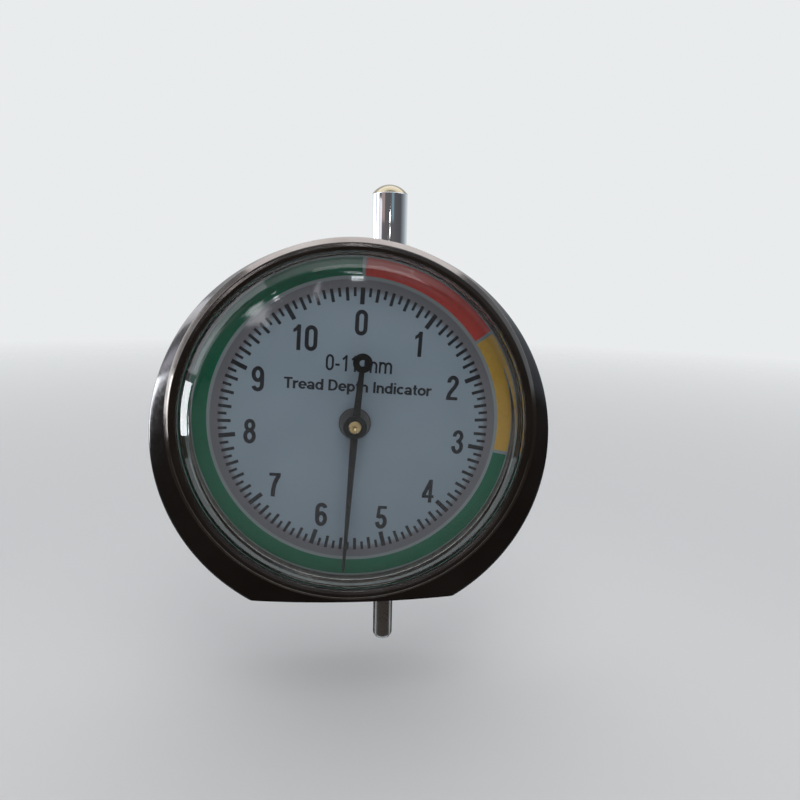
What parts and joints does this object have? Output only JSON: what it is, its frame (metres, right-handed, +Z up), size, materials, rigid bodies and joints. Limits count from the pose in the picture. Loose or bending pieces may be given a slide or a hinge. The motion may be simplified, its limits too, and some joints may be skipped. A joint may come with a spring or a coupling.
{
  "type": "tire tread gauge",
  "caption": "Dial tread depth gauge: round case on a flat foot, sliding probe and plunger that turn a pointer through a rack and pinion, turning bezel with the dial.",
  "frame": {"origin": "middle of the flat foot face, below the dial axis and on the plane of the plunger's axis", "axes": "+Z up along the plunger, out of the foot; the dial faces -Y; +X to the reader's right"},
  "size_m": [0.0428, 0.0148, 0.0504],
  "materials": {
    "case_plate": "glossy black-nickel plate on metal",
    "bezel_plate": "glossy brown-black plate, lightly worn",
    "screw_steel": "satin",
    "bush_brass": "turned",
    "plate_brass": "brushed",
    "bush_steel": "turned",
    "spring_steel": "polished",
    "crystal_acrylic": "clear domed acrylic, fine scratches",
    "spacer_plastic": "dark grey",
    "dial_enamel": "satin pale blue-grey print",
    "pointer_black": "satin black",
    "rod_brass": "polished, unplated",
    "sleeve_chrome": "mirror",
    "probe_steel": "ground"
  },
  "bodies": {
    "case": {"case_body": "case_plate", "back_cover": "case_plate", "back_cover_screws": "screw_steel", "upper_guide_bush": "bush_brass", "lower_guide_bush": "bush_brass", "movement_plate": "plate_brass", "movement_plate_screws": "screw_steel", "front_bearing_bush": "bush_steel", "rear_bridge": "plate_brass", "bridge_pillars": "bush_brass", "bridge_screws": "screw_steel", "rear_bearing_bush": "bush_brass", "guide_plate": "plate_brass", "guide_pillars": "bush_brass", "guide_screws": "screw_steel", "friction_spring": "spring_steel", "friction_spring_screw": "screw_steel", "bezel_spring_ring": "spring_steel"},
    "bezel_assembly": {"bezel": "bezel_plate", "crystal": "crystal_acrylic", "spacer_ring": "spacer_plastic", "dial_plate": "dial_enamel"},
    "pointer_assembly": {"pinion_arbor": "bush_brass", "pointer_hub": "pointer_black", "pointer": "pointer_black"},
    "plunger": {"rack_rod": "rod_brass", "plunger_sleeve": "sleeve_chrome", "probe": "probe_steel", "guide_pin": "spring_steel"}
  },
  "joints": [
    {"name": "plunger_slide", "type": "slide", "parent": "case", "child": "plunger", "axis": [0, 0, -1], "range_m": [-0.0055, 0.0055]},
    {"name": "pointer_spin", "type": "hinge", "parent": "case", "child": "pointer_assembly", "pos_m": [0, 0, 0.021], "axis": [0, 1, 0], "range_deg": [-180.5, 180.5]},
    {"name": "bezel_turn", "type": "hinge", "parent": "case", "child": "bezel_assembly", "pos_m": [0, 0, 0.021], "axis": [0, 1, 0], "continuous": true}
  ],
  "couplings": [
    {"joint": "pointer_spin", "follows": "plunger_slide", "rad_per_m": 571.2}
  ]
}
